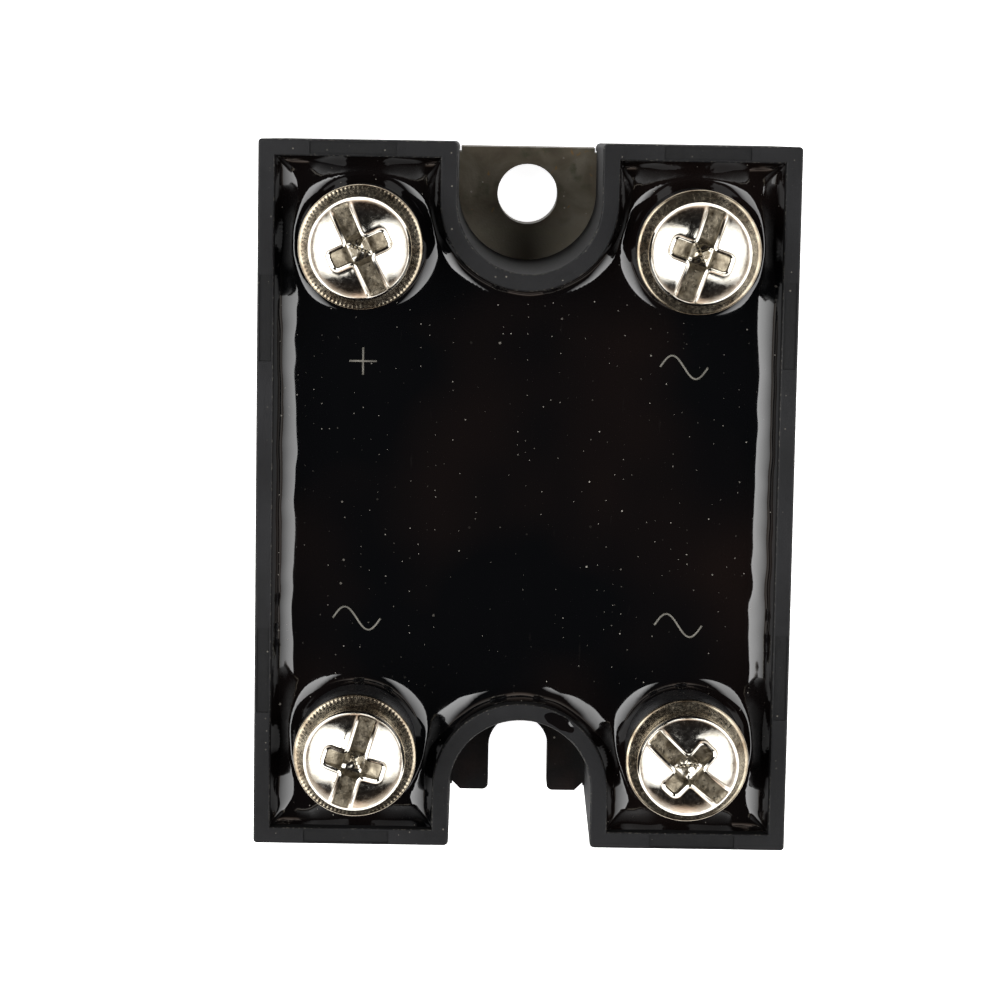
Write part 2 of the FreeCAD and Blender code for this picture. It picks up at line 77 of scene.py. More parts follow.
PLATE_STAINS = ((0.30, (0.046, 0.036, 0.024)), (0.50, (0.076, 0.064, 0.045)), (0.70, (0.112, 0.100, 0.076)))
PLATE_OLIVE = (0.044, 0.044, 0.026)
PLATE_RUST = (0.16, 0.085, 0.022)
# Lighter colour beside the north notch's wall: painted light where the housing shades the plate
PLATE_PAINTED_LIGHT = (0.27, 0.245, 0.19)
# Dark brown tones that fade in towards the south end: painted shade
PLATE_PAINTED_SHADE = ((0.0014, 0.0011, 0.0011), (0.0080, 0.0038, 0.0028))
PLATE_DUST = (0.26, 0.24, 0.2)

# Millimetres north of the middle that the plate's colouring counts as 1
PLATE_REACH = 30.0

RESIN_TONES = ((0.0014, 0.0015, 0.0018), (0.0046, 0.0030, 0.0027))
RESIN_SMEAR = (0.009, 0.008, 0.0075)
RESIN_DUST = (0.19, 0.175, 0.15)
DUST_ROUGHNESS = 0.6

NICKEL_TONES = ((0.57, 0.53, 0.45), (0.74, 0.715, 0.65))
NICKEL_PITS = (0.22, 0.18, 0.13)
RECESS_TONES = ((0.060, 0.046, 0.029), (0.31, 0.27, 0.20))
WASHER_TONES = ((0.13, 0.10, 0.068), (0.33, 0.29, 0.22))


def fill_ramp(node, stops):
    """Sets a colour ramp's stops: (position, colour or grey), from the lowest position up."""
    band = node.color_ramp
    while len(band.elements) < len(stops):
        band.elements.new(1.0)
    for element, (position, value) in zip(band.elements, stops):
        grey = isinstance(value, (int, float))
        element.position = position
        element.color = (value, value, value, 1.0) if grey else (*value, 1.0)


class Surface:
    """A material with its principled shader, and short ways to add texture nodes. The colour and the
    roughness given at the start are what a viewer without these nodes falls back on."""

    def __init__(self, name, color, roughness, metallic=0.0, **sockets):
        self.material = bpy.data.materials.new(name)
        self.material.use_nodes = True
        self.tree = self.material.node_tree
        self.shader = self.tree.nodes["Principled BSDF"]
        self.shader.inputs["Base Color"].default_value = (*color, 1.0)
        self.shader.inputs["Roughness"].default_value = roughness
        self.shader.inputs["Metallic"].default_value = metallic
        for socket, value in sockets.items():
            self.shader.inputs[socket.replace("_", " ")].default_value = value
        coordinates = self.tree.nodes.new("ShaderNodeTexCoord")
        scaling = self.tree.nodes.new("ShaderNodeVectorMath")
        scaling.operation = "SCALE"
        scaling.inputs["Scale"].default_value = 1.0 / MM
        self.link(coordinates.outputs["Object"], scaling.inputs[0])
        self.place = scaling.outputs[0]

    def link(self, source, target):
        self.tree.links.new(source, target)

    def noise(self, scale, detail=4.0, stretch=(1.0, 1.0, 1.0), distortion=0.0):
        texture = self.tree.nodes.new("ShaderNodeTexNoise")
        texture.inputs["Scale"].default_value = scale
        texture.inputs["Detail"].default_value = detail
        texture.inputs["Distortion"].default_value = distortion
        stretching = self.tree.nodes.new("ShaderNodeVectorMath")
        stretching.operation = "MULTIPLY"
        stretching.inputs[1].default_value = stretch
        self.link(self.place, stretching.inputs[0])
        self.link(stretching.outputs[0], texture.inputs["Vector"])
        return texture.outputs["Fac"]

    def specks(self, scale, size, share):
        """Round marks of mixed size and strength on faces that look up, 0 to 1. The scale is in cells per
        millimetre, the largest radius is in cell widths, and the share is the part of cells that hold one."""
        cells = self.tree.nodes.new("ShaderNodeTexVoronoi")
        cells.voronoi_dimensions = "2D"
        cells.inputs["Scale"].default_value = scale
        self.link(self.place, cells.inputs["Vector"])
        split = self.tree.nodes.new("ShaderNodeSeparateColor")
        self.link(cells.outputs["Color"], split.inputs[0])
        widened = self.math("ADD", split.outputs[1], SPECK_SMALLEST)
        radius = self.math("MULTIPLY", widened, size / (1.0 + SPECK_SMALLEST))
        near = self.math("LESS_THAN", cells.outputs["Distance"], radius)
        chosen = self.math("LESS_THAN", split.outputs[0], share)
        strength = self.math("POWER", split.outputs[2], SPECK_CONTRAST)
        lying = self.math("GREATER_THAN", self.facing_up(), LYING)
        shape = self.math("MULTIPLY", near, chosen)
        return self.math("MULTIPLY", shape, self.math("MULTIPLY", strength, lying))

    def math(self, operation, first, second=0.0):
        node = self.tree.nodes.new("ShaderNodeMath")
        node.operation = operation
        for socket, value in zip(node.inputs, (first, second)):
            if isinstance(value, (int, float)):
                socket.default_value = value
            else:
                self.link(value, socket)
        return node.outputs[0]

    def ramp(self, factor, *stops):
        """Colour or grey by factor: stops are (position, colour or grey)."""
        node = self.tree.nodes.new("ShaderNodeValToRGB")
        self.link(factor, node.inputs["Fac"])
        fill_ramp(node, stops)
        return node.outputs["Color"]

    def mix(self, factor, first, second):
        node = self.tree.nodes.new("ShaderNodeMix")
        node.data_type = "RGBA"
        sockets = [node.inputs["Factor"]] + [node.inputs[index] for index in MIX_COLOR_INPUTS]
        for socket, value in zip(sockets, (factor, first, second)):
            if isinstance(value, tuple):
                socket.default_value = (*value, 1.0)
            elif isinstance(value, (int, float)):
                socket.default_value = value
            else:
                self.link(value, socket)
        return node.outputs[MIX_COLOR_OUTPUT]

    def color(self, source):
        self.link(source, self.shader.inputs["Base Color"])

    def roughness(self, source):
        self.link(source, self.shader.inputs["Roughness"])

    def bump(self, height, depth):
        """Raised and sunk detail, with its depth in metres."""
        node = self.tree.nodes.new("ShaderNodeBump")
        node.inputs["Distance"].default_value = depth
        self.link(height, node.inputs["Height"])
        self.link(node.outputs["Normal"], self.shader.inputs["Normal"])

    def coordinate(self, axis):
        """The point's X, Y or Z in millimetres."""
        split = self.tree.nodes.new("ShaderNodeSeparateXYZ")
        self.link(self.place, split.inputs[0])
        return split.outputs[axis]

    def facing_up(self):
        """The upward part of the face's direction: 1 on a level face and 0 on an upright one."""
        geometry_node = self.tree.nodes.new("ShaderNodeNewGeometry")
        split = self.tree.nodes.new("ShaderNodeSeparateXYZ")
        self.link(geometry_node.outputs["Normal"], split.inputs[0])
        return split.outputs["Z"]


def housing_material():
    """Moulded black plastic: satin, finely grained, duller and with painted shade on upright faces, darker in
    the shallow marks on the rim, and worn at the rim's edges."""
    surface = Surface("housing_plastic", (0.007, 0.007, 0.008), 0.5, Specular_IOR_Level=0.2)
    cloudy = surface.ramp(surface.noise(0.10, 3.0), (0.34, CASE_TONES[0]), (0.66, CASE_TONES[1]))
    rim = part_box("housing_frame")[1].z / MM
    up = surface.facing_up()
    level = surface.coordinate("Z")
    sunk = surface.math("MULTIPLY", surface.math("LESS_THAN", level, rim - MARK_LEAST_DEPTH),
                        surface.math("GREATER_THAN", level, rim - MARK_MOST_DEPTH))
    sunk = surface.math("MULTIPLY", sunk, surface.math("GREATER_THAN", up, 0.99))
    marked = surface.mix(sunk, cloudy, CASE_MARK)
    edge = surface.math("MULTIPLY", surface.math("GREATER_THAN", level, rim - WORN_DEPTH),
                        surface.math("LESS_THAN", up, 0.90))
    worn = surface.math("MULTIPLY", edge, surface.ramp(surface.noise(5.0, 6.0), (0.54, 0.0), (0.64, 0.8)))
    scuffed = surface.mix(worn, marked, CASE_SCUFF)
    upright = surface.math("LESS_THAN", surface.math("ABSOLUTE", up), 0.5)
    # Painted shade: upright faces are darkened by their direction alone
    walls = surface.mix(surface.math("MULTIPLY", upright, 0.6), scuffed, CASE_UPRIGHT_SHADE)
    surface.color(surface.mix(surface.specks(1.1, 0.085, 0.22), walls, CASE_DUST))
    satin = surface.ramp(surface.noise(1.4, 8.0, (1.0, 1.0, 0.35)), (0.30, 0.42), (0.72, 0.62))
    surface.roughness(surface.mix(upright, satin, (CASE_WALL_ROUGHNESS,) * 3))
    surface.bump(surface.noise(9.0, 3.0), 0.012 * MM)
    return surface.material


def plate_material():
    """Dull nickel on steel, stained brown and olive, with rust spots. It has painted light, a lighter colour,
    beside the north notch's wall, where the housing shades it, and painted shade, dark brown, towards its
    south end."""
    surface = Surface("plated_plate", (0.10, 0.09, 0.07), 0.5, metallic=0.05, Specular_IOR_Level=0.15)
    stain = surface.ramp(surface.noise(0.33, 8.0, distortion=0.6), *PLATE_STAINS)
    blotch = surface.ramp(surface.noise(0.8, 6.0), (0.56, 0.0), (0.74, 0.9))
    olive = surface.mix(blotch, stain, PLATE_OLIVE)
    spots = surface.ramp(surface.noise(0.75, 4.0, distortion=1.0), (0.665, 0.0), (0.72, 0.85))
    rusty = surface.mix(spots, olive, PLATE_RUST)
    north = surface.math("DIVIDE", surface.coordinate("Y"), PLATE_REACH)
    # Painted light: the colour turns lighter towards the north notch's wall, where the housing casts shade
    painted_light = surface.mix(surface.ramp(north, (0.62, 1.0), (0.76, 0.0)), rusty, PLATE_PAINTED_LIGHT)
    # Painted shade: dark brown colour, growing towards the plate's south end
    south_shade = surface.ramp(surface.math("MULTIPLY", north, -1.0), (0.0, 0.0), (0.72, 1.0))
    brown = surface.ramp(surface.noise(0.28, 5.0), (0.42, PLATE_PAINTED_SHADE[0]), (0.66, PLATE_PAINTED_SHADE[1]))
    stained_lit_and_shaded = surface.mix(south_shade, painted_light, brown)
    surface.color(surface.mix(surface.specks(1.0, 0.09, 0.25), stained_lit_and_shaded, PLATE_DUST))
    surface.roughness(surface.ramp(surface.noise(2.5, 8.0), (0.3, 0.40), (0.7, 0.65)))
    surface.bump(surface.noise(5.0, 6.0), 0.02 * MM)
    return surface.material


def resin_material():
    """Black cast resin with a mirror-like skin, a trace of brown, dust and faint smears."""
    surface = Surface("potting_resin", (0.001, 0.001, 0.0012), 0.06, IOR=1.55)
    tint = surface.ramp(surface.noise(0.05, 2.0), (0.44, RESIN_TONES[0]), (0.64, RESIN_TONES[1]))
    fine = surface.specks(1.5, 0.080, 0.15)
    coarse = surface.specks(0.40, 0.042, 0.22)
    smear = surface.ramp(surface.noise(2.2, 10.0, (1.0, 0.12, 1.0)), (0.70, 0.0), (0.80, 0.5))
    dust = surface.math("MAXIMUM", fine, coarse)
    smeared = surface.mix(smear, tint, RESIN_SMEAR)
    surface.color(surface.mix(dust, smeared, RESIN_DUST))
    wiped = surface.ramp(surface.noise(0.6, 9.0, (1.0, 0.3, 1.0)), (0.35, 0.04), (0.75, 0.09))
    surface.roughness(surface.mix(dust, wiped, (DUST_ROUGHNESS,) * 3))
    surface.bump(surface.noise(0.5, 2.0), 0.006 * MM)
    return surface.material


def bright_nickel_material():
    """Bright nickel plate, slightly uneven, with small pits."""
    surface = Surface("bright_nickel", (0.80, 0.765, 0.69), 0.12, metallic=1.0)
    warm = surface.ramp(surface.noise(0.8, 4.0), (0.35, NICKEL_TONES[0]), (0.65, NICKEL_TONES[1]))
    surface.color(surface.mix(surface.specks(1.6, 0.12, 0.20), warm, NICKEL_PITS))
    surface.roughness(surface.ramp(surface.noise(3.0, 6.0), (0.35, 0.08), (0.75, 0.20)))
    surface.bump(surface.noise(1.6, 3.0), 0.010 * MM)
    return surface.material


def recess_nickel_material():
    """The same plate where the punch left it dull: rough, with a brown cast of old flux and dust."""
    surface = Surface("recess_nickel", (0.15, 0.12, 0.085), 0.36, metallic=0.9)
    surface.color(surface.ramp(surface.noise(1.1, 7.0), (0.32, RECESS_TONES[0]), (0.68, RECESS_TONES[1])))
    surface.roughness(surface.ramp(surface.noise(3.0, 5.0), (0.3, 0.24), (0.7, 0.46)))
    surface.bump(surface.noise(2.6, 4.0), 0.05 * MM)
    return surface.material


def washer_material():
    """Nickel plate on a stamped washer, greyer and rougher than the screws."""
    surface = Surface("washer_nickel", (0.26, 0.225, 0.17), 0.22, metallic=1.0)
    surface.color(surface.ramp(surface.noise(0.7, 6.0), (0.32, WASHER_TONES[0]), (0.68, WASHER_TONES[1])))
    surface.roughness(surface.ramp(surface.noise(4.0, 6.0), (0.3, 0.15), (0.7, 0.28)))
    surface.bump(surface.noise(7.0, 4.0), 0.003 * MM)
    return surface.material


def grained_material(name, dark, light, roughness, metallic, grain, depth):
    """A plain material with two tones of its colour and a fine grain."""
    surface = Surface(name, light, roughness, metallic=metallic)
    surface.color(surface.ramp(surface.noise(0.8, 5.0), (0.32, dark), (0.68, light)))
    smooth = roughness * 0.75
    rough = min(roughness * 1.3, 1.0)
    surface.roughness(surface.ramp(surface.noise(grain, 5.0), (0.3, smooth), (0.7, rough)))
    surface.bump(surface.noise(grain * 2.0, 3.0), depth * MM)
    return surface.material


# Dark tone, light tone, roughness, metallic, grain scale and grain depth in millimetres
GRAINED = {
    "sleeve_plastic": ((0.008, 0.008, 0.009), (0.013, 0.013, 0.014), 0.3, 0.0, 3.0, 0.01),
    "plated_brass": ((0.42, 0.37, 0.28), (0.62, 0.58, 0.48), 0.25, 1.0, 6.0, 0.01),
    "copper": ((0.52, 0.23, 0.14), (0.80, 0.42, 0.28), 0.35, 1.0, 4.0, 0.01),
    "solder": ((0.34, 0.34, 0.35), (0.55, 0.55, 0.56), 0.45, 1.0, 5.0, 0.02),
    "silicon": ((0.06, 0.06, 0.075), (0.12, 0.12, 0.15), 0.22, 0.6, 3.0, 0.01),
    "alumina": ((0.70, 0.69, 0.65), (0.86, 0.86, 0.83), 0.6, 0.0, 8.0, 0.01),
    "adhesive": ((0.010, 0.010, 0.010), (0.022, 0.021, 0.020), 0.5, 0.0, 4.0, 0.02),
    "gel": ((0.45, 0.45, 0.40), (0.62, 0.62, 0.57), 0.15, 0.0, 1.0, 0.005),
    "ink": ((0.06, 0.056, 0.046), (0.115, 0.108, 0.09), 0.6, 0.0, 9.0, 0.004),
}


def make_materials():
    made = {
        "housing_plastic": housing_material(),
        "plated_plate": plate_material(),
        "resin": resin_material(),
        "plated_steel": bright_nickel_material(),
        "recess": recess_nickel_material(),
        "washer": washer_material(),
    }
    for name, look in GRAINED.items():
        made[name] = grained_material(name, *look)
    return made


# ---------------------------------------------------------------------------------------------------------
# Mesh helpers


def piece_from(name, vertices, faces, body, material, sharp_angle=None):
    """A mesh piece in the row frame, riding on a body."""
    mesh = bpy.data.meshes.new(name)
    mesh.from_pydata([tuple(vertex) for vertex in vertices], [], faces)
    mesh.validate()
    editable = bmesh.new()
    editable.from_mesh(mesh)
    bmesh.ops.recalc_face_normals(editable, faces=editable.faces)
    editable.to_mesh(mesh)
    editable.free()
    mesh.shade_smooth()
    if sharp_angle is not None:
        mesh.set_sharp_from_angle(angle=math.radians(sharp_angle))
    mesh.materials.append(material)
    piece = bpy.data.objects.new(name, mesh)
    bpy.context.scene.collection.objects.link(piece)
    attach(piece, body)
    return piece


def triangulate(points, loops, creases=()):
    """Delaunay triangles of points, whose edges follow the loops and the creases, both lists of indices into
    points. Triangles inside a hole come too. Returns the placed points and the triangles."""
    edges = [(loop[i], loop[(i + 1) % len(loop)]) for loop in loops for i in range(len(loop))]
    edges += [pair for crease in creases for pair in zip(crease, crease[1:])]
    flat = [Vector((p[0], p[1])) for p in points]
    found = geometry.delaunay_2d_cdt(flat, edges, [list(loop) for loop in loops], 0, 1e-9)
    return found[0], found[2]


def face_centre(points, face):
    return (sum(points[i][0] for i in face) / len(face), sum(points[i][1] for i in face) / len(face))


# ---------------------------------------------------------------------------------------------------------
# Shared measures: boxes read from the frame, and the notches as the CAD model has them

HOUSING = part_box("housing_frame")
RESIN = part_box("potting_resin")
LEVEL = RESIN[1].z
HALF_X = RESIN[1].x
HALF_Y = RESIN[1].y
NOTCH_BORE = 5.8 * MM
NOTCH_WALL = 1.4 * MM
NOTCH_DEPTH = 10.55 * MM
NOTCH_OUTER = NOTCH_BORE + NOTCH_WALL
NOTCH_CENTRE_Y = HOUSING[1].y - NOTCH_DEPTH + NOTCH_BORE


def centre_of(node):
    low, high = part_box(node)
    return Vector(((low.x + high.x) / 2, (low.y + high.y) / 2, 0.0))


SLEEVE_RADIUS = (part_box("terminal_sleeve_plus")[1].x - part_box("terminal_sleeve_plus")[0].x) / 2
POSTS = [centre_of(f"terminal_post_{name}") for name in TERMINALS]

# ---------------------------------------------------------------------------------------------------------
# Cast resin: flat in the middle, climbing the walls and the towers in a meniscus

WALL_RISE = 1.45 * MM
WALL_REACH = 0.80 * MM
NORTH_NOTCH_SHARE = 0.62
TOWER_RISE = 1.15 * MM
TOWER_REACH = 0.58 * MM
MITRE = 7.0
MITRE_LENGTH = 1.8 * MM
WANDER_SCALE = 0.16
WANDER_SHARE = 0.20
WANDER_SEED = 3.0
KINK_SCALE = 0.55
KINK_SHARE = 0.07
KINK_SEED = 8.0
RIM_GAP = 0.25 * MM
OUTLINE_SPACING = 0.30 * MM
SPACING_GROWTH = 0.3
RING_OVERLAP = 0.02 * MM
OPEN_SPACING = 1.6 * MM
OPEN_CLEARANCE = 3.6 * MM
RESIN_SHARP_ANGLE = 50

# Distances of the meniscus's rings of points from the wall, in millimetres
MENISCUS_STEPS = (0.05, 0.11, 0.18, 0.26, 0.35, 0.45, 0.57, 0.70, 0.85, 1.02, 1.22, 1.46, 1.75, 2.10, 2.60,
                  3.30)


def notch_distance(x, y):
    """Distance outwards from the notch wall that is nearer."""
    along = abs(y) - NOTCH_CENTRE_Y
    if along < 0:
        return math.hypot(x, along) - NOTCH_OUTER
    return abs(x) - NOTCH_OUTER


def wall_distances(x, y):
    return HALF_X - abs(x), HALF_Y - abs(y), notch_distance(x, y)


def tower_distances(x, y):
    return [math.hypot(x - post.x, y - post.y) - SLEEVE_RADIUS for post in POSTS]


def resin_height(x, y):
    """Height of the resin's skin. The highest climb nearby wins, so the menisci of two walls meet in a mitre.
    The climb varies a little along the walls, as the pour wetted them unevenly, and is lower at the north
    notch."""
    wander = noise.noise(Vector((x / MM * WANDER_SCALE, y / MM * WANDER_SCALE, WANDER_SEED)))
    kink = noise.noise(Vector((x / MM * KINK_SCALE, y / MM * KINK_SCALE, KINK_SEED)))
    uneven = 1.0 + WANDER_SHARE * wander + KINK_SHARE * kink
    sizes = (uneven, uneven, uneven * NORTH_NOTCH_SHARE if y > 0 else uneven)
    climbs = [WALL_RISE * size * math.exp(-max(d, 0.0) / (WALL_REACH * size))
              for d, size in zip(wall_distances(x, y), sizes)]
    climbs += [TOWER_RISE * math.exp(-max(d, 0.0) / TOWER_REACH) for d in tower_distances(x, y)]
    rise = sum(climb ** MITRE for climb in climbs) ** (1.0 / MITRE)
    return min(LEVEL + rise, HOUSING[1].z - RIM_GAP)


def wall_outline(inset, spacing):
    """Points along the cavity's wall, moved in by the inset: straight runs, and an arc round each notch."""
    half_x = HALF_X - inset
    half_y = HALF_Y - inset
    radius = NOTCH_OUTER + inset
    steps = max(8, int(math.pi * radius / spacing))
    south = [(radius * math.cos(a), -NOTCH_CENTRE_Y + radius * math.sin(a))
             for a in (math.pi - math.pi * i / steps for i in range(steps + 1))]
    north = [(-x, -y) for x, y in south]
    corners = [(-half_x, -half_y), (-radius, -half_y)] + south + [(radius, -half_y), (half_x, -half_y),
               (half_x, half_y), (radius, half_y)] + north + [(-radius, half_y), (-half_x, half_y)]
    points = []
    for index, start in enumerate(corners):
        end = corners[(index + 1) % len(corners)]
        pieces = max(1, round(math.hypot(end[0] - start[0], end[1] - start[1]) / spacing))
        for step in range(pieces):
            share = step / pieces
            points.append((start[0] + (end[0] - start[0]) * share, start[1] + (end[1] - start[1]) * share))
    return points


def tower_outline(post, radius, spacing):
    """Points of a circle round a post."""
    count = max(24, int(2 * math.pi * radius / spacing))
    angles = [2 * math.pi * i / count for i in range(count)]
    return [(post.x + radius * math.cos(t), post.y + radius * math.sin(t)) for t in angles]


def clearance(x, y):
    """Distance to the nearest wall or tower."""
    return min(min(wall_distances(x, y)), min(tower_distances(x, y)))


def mitre_lines(points):
    """Indices of the points on each diagonal where the menisci of two walls meet, from the corner inwards."""
    lines = []
    for side_y in (-1, 1):
        for corner_x, inward in ((-HALF_X, 1), (-NOTCH_OUTER, -1), (NOTCH_OUTER, 1), (HALF_X, -1)):
            line = []
            for index, (x, y) in enumerate(points):
                from_side = (x - corner_x) * inward
                from_end = HALF_Y - side_y * y
                if abs(from_side - from_end) < 1e-6 * MM and -1e-6 * MM < from_side < MITRE_LENGTH:
                    line.append((from_side, index))
            lines.append([index for _, index in sorted(line)])
    return lines


def resin_outlines(inset, spacing):
    """Lines of points round the cavity's wall and round each tower, at a distance from them."""
    radius = SLEEVE_RADIUS + inset
    return [wall_outline(inset, spacing)] + [tower_outline(post, radius, spacing) for post in POSTS]


def make_resin(materials):
    """The cast resin: a skin with its menisci, upright sides at the walls and towers, and a flat foot."""
    points = []
    loops = []
    for outline in resin_outlines(0.0, OUTLINE_SPACING):
        loops.append(list(range(len(points), len(points) + len(outline))))
        points.extend(outline)
    rim_count = len(points)
    for step in MENISCUS_STEPS:
        inset = step * MM
        for ring in resin_outlines(inset, OUTLINE_SPACING * (1.0 + SPACING_GROWTH * step)):
            points.extend(p for p in ring if clearance(*p) > inset - RING_OVERLAP)
    across = int(HALF_X / OPEN_SPACING)
    along = int(HALF_Y / OPEN_SPACING)
    for i in range(-across, across + 1):
        for j in range(-along, along + 1):
            spot = (i * OPEN_SPACING, j * OPEN_SPACING)
            if clearance(*spot) > OPEN_CLEARANCE:
                points.append(spot)
    flat, triangles = triangulate(points, loops, mitre_lines(points))
    top = [(p.x, p.y, resin_height(p.x, p.y)) for p in flat]
    faces = [tuple(t) for t in triangles if clearance(*face_centre(flat, t)) > 0.0]
    foot = RESIN[0].z
    count = len(top)
    bottom = [(points[i][0], points[i][1], foot) for i in range(rim_count)]
    for loop in loops:
        for index, start in enumerate(loop):
            end = loop[(index + 1) % len(loop)]
            faces.append((start, end, count + end, count + start))
    _, underside = triangulate(points[:rim_count], loops)
    for t in underside:
        if clearance(*face_centre(points, t)) > 0.0:
            faces.append(tuple(count + i for i in reversed(t)))
    skin = piece_from("resin_cast", top + bottom, faces, "root", materials["resin"],
                      RESIN_SHARP_ANGLE)
    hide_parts("potting_resin")


# ---------------------------------------------------------------------------------------------------------
# Screw: domed head with a full slot and a cross recess inside a raised bead, on a helical thread

HEAD_RADIUS = 4.1 * MM
HEAD_CROWN = 1.6 * MM
DOME_RADIUS = (HEAD_RADIUS ** 2 + HEAD_CROWN ** 2) / (2 * HEAD_CROWN)
HEAD_EDGE_RADIUS = 0.30 * MM
HEAD_HEIGHT = 3.05 * MM
SLOT_HALF = 0.66 * MM
SLOT_DEPTH = 1.28 * MM
BEAD_HEIGHT = 0.12 * MM
BEAD_CENTRE = 0.17 * MM
BEAD_WIDTH = 0.10 * MM
BEAD_END = 3.35 * MM
BEAD_FADE = 0.3 * MM
BEAD_OFFSETS = tuple(offset * MM for offset in (0.06, 0.12, 0.17, 0.23, 0.30, 0.38))
BEAD_REACH = 0.46 * MM
WING_HALF = 0.66 * MM
WING_END = 2.30 * MM
WING_CORNER = 0.30 * MM
WING_DEPTH = 0.75 * MM
WING_FALL = 0.55
INNER_FILLET = 0.50 * MM
WALL_DRAFT = 0.06 * MM
CENTRE_HALF = 1.05 * MM
CENTRE_DEPTH = 2.35 * MM
CENTRE_RISE = 0.70
THREAD_PITCH = 0.79375 * MM
THREAD_CREST = 2.085 * MM
THREAD_ROOT = 1.65 * MM
TIP_FADE = 0.9 * MM
NECK_FADE = 0.5 * MM
NECK_DROP = 0.12 * MM
NECK_SLIMMING = 0.12 * MM
SEAT_GAP = 0.07 * MM
ROWS_PER_TURN = 8
AROUND = 96
ROUNDING_STEPS = 6
HEAD_SPACING = 0.13 * MM
HEAD_GRID = 0.21 * MM
FLOOR_MARGIN = 0.06 * MM
DULL_FROM = 0.8 * CENTRE_HALF
SCREW_SHARP_ANGLE = 32

# Rounded lower edge of the head, in millimetres: in from the side and up from the underside
LOWER_EDGE = ((0.0, 0.25), (0.07, 0.07), (0.25, 0.0))

# Direction of each slot, in degrees from X
SLOT_ANGLES = {"plus": 115.0, "ac1": 71.0, "ac2": 73.0, "ac3": 138.5}


def recess_distance(a, b):
    """Distance from the edge of the recess, positive on the dome, at a along the slot and b across it."""
    a = abs(a)
    b = abs(b)
    if a > WING_HALF + INNER_FILLET:
        return b - SLOT_HALF
    if b > SLOT_HALF + INNER_FILLET:
        from_side = a - (WING_HALF - WING_CORNER)
        from_end = b - (WING_END - WING_CORNER)
        if from_side > 0 and from_end > 0:
            return math.hypot(from_side, from_end) - WING_CORNER
        return max(from_side, from_end) - WING_CORNER
    return INNER_FILLET - math.hypot(WING_HALF + INNER_FILLET - a, SLOT_HALF + INNER_FILLET - b)


def arc(centre, radius, start, end, spacing):
    """Points of an arc between two angles in degrees, ends included."""
    steps = max(2, round(math.radians(abs(end - start)) * radius / spacing))
    angles = [math.radians(start + (end - start) * i / steps) for i in range(steps + 1)]
    return [(centre[0] + radius * math.cos(t), centre[1] + radius * math.sin(t)) for t in angles]


def recess_outline(offset, reach, spacing):
    """A quarter of the recess's edge moved outwards by the offset: from the slot's end in to the cross bar's
    end."""
    side = SLOT_HALF + offset
    start = math.sqrt(reach ** 2 - side ** 2)
    corner = (WING_HALF + INNER_FILLET, SLOT_HALF + INNER_FILLET)
    straight = max(1, round((start - corner[0]) / spacing))
    points = [(start + (corner[0] - start) * i / straight, side) for i in range(straight)]
    points += arc(corner, INNER_FILLET - offset, 270, 180, spacing)
    end_corner = (WING_HALF - WING_CORNER, WING_END - WING_CORNER)
    rise = end_corner[1] - corner[1]
    steps = max(1, round(rise / spacing))
    points += [(WING_HALF + offset, corner[1] + rise * i / steps) for i in range(1, steps)]
    points += arc(end_corner, WING_CORNER + offset, 0, 90, spacing)
    points.append((0.0, WING_END + offset))
    return points


def dome_drop(radius):
    return DOME_RADIUS - math.sqrt(DOME_RADIUS ** 2 - min(radius, HEAD_RADIUS) ** 2)


def recess_drop(a, b):
    """Drop from the top of the dome to the recess's floor: the slot, the sloping cross bar and a pyramid in
    the middle. The deepest of those that reach the spot counts."""
    a = abs(a)
    b = abs(b)
    margin = 0.2 * INNER_FILLET
    in_wing = a < WING_HALF + margin
    drops = []
    if not in_wing or b <= SLOT_HALF + margin:
        drops.append(SLOT_DEPTH)
    if in_wing:
        drops.append(WING_DEPTH + (WING_END - b) * WING_FALL)
    if max(a, b) < CENTRE_HALF:
        drops.append(CENTRE_DEPTH - max(a, b) * CENTRE_RISE)
    return max(drops)


def head_height(a, b, top):
    """Height of the head's upper face."""
    away = recess_distance(a, b)
    drop = dome_drop(math.hypot(a, b))
    if away < -0.5 * WALL_DRAFT:
        return top - max(drop, recess_drop(a, b))
    fade = min(max((BEAD_END + BEAD_FADE - abs(a)) / BEAD_FADE, 0.0), 1.0)
    return top - drop + fade * BEAD_HEIGHT * math.exp(-((away - BEAD_CENTRE) / BEAD_WIDTH) ** 2)


def head_face(inner, top):
    """The head's upper face inside the inner radius: its points, its triangles and the angles of its rim."""
    points = []
    walls = []
    ends = []
    for offset in (-WALL_DRAFT, 0.0) + BEAD_OFFSETS:
        quarter = recess_outline(offset, inner, HEAD_SPACING)
        for sign_a in (-1, 1):
            for sign_b in (-1, 1):
                path = [(sign_a * a, sign_b * b) for a, b in quarter]
                ends.append(math.atan2(path[0][1], path[0][0]))
                if offset <= 0.0:
                    walls.append((path[1:], ends[-1]))
                else:
                    points.extend(path[1:])
    step = 2 * math.pi / AROUND
    plain = [-math.pi + i * step for i in range(AROUND)]
    angles = sorted(ends + [p for p in plain if all(abs(math.remainder(p - q, 2 * math.pi)) > 0.4 * step
                                                    for q in ends)])
    rim = [(inner * math.cos(t), inner * math.sin(t)) for t in angles]
    creases = []
    placed = list(rim)
    for path, end in walls:
        creases.append([angles.index(end)] + list(range(len(placed), len(placed) + len(path))))
        placed.extend(path)
    count = int(inner / HEAD_GRID)
    grid = [(i * HEAD_GRID, j * HEAD_GRID) for i in range(-count, count + 1) for j in range(-count, count + 1)
            if math.hypot(i, j) * HEAD_GRID < inner - 0.6 * HEAD_GRID]
    grid = [p for p in grid
            if recess_distance(*p) > BEAD_REACH or recess_distance(*p) < -WALL_DRAFT - FLOOR_MARGIN]
    flat, triangles = triangulate(placed + points + grid, [list(range(len(rim)))], creases)
    vertices = [(p.x, p.y, head_height(p.x, p.y, top)) for p in flat]
    return vertices, [tuple(t) for t in triangles], angles


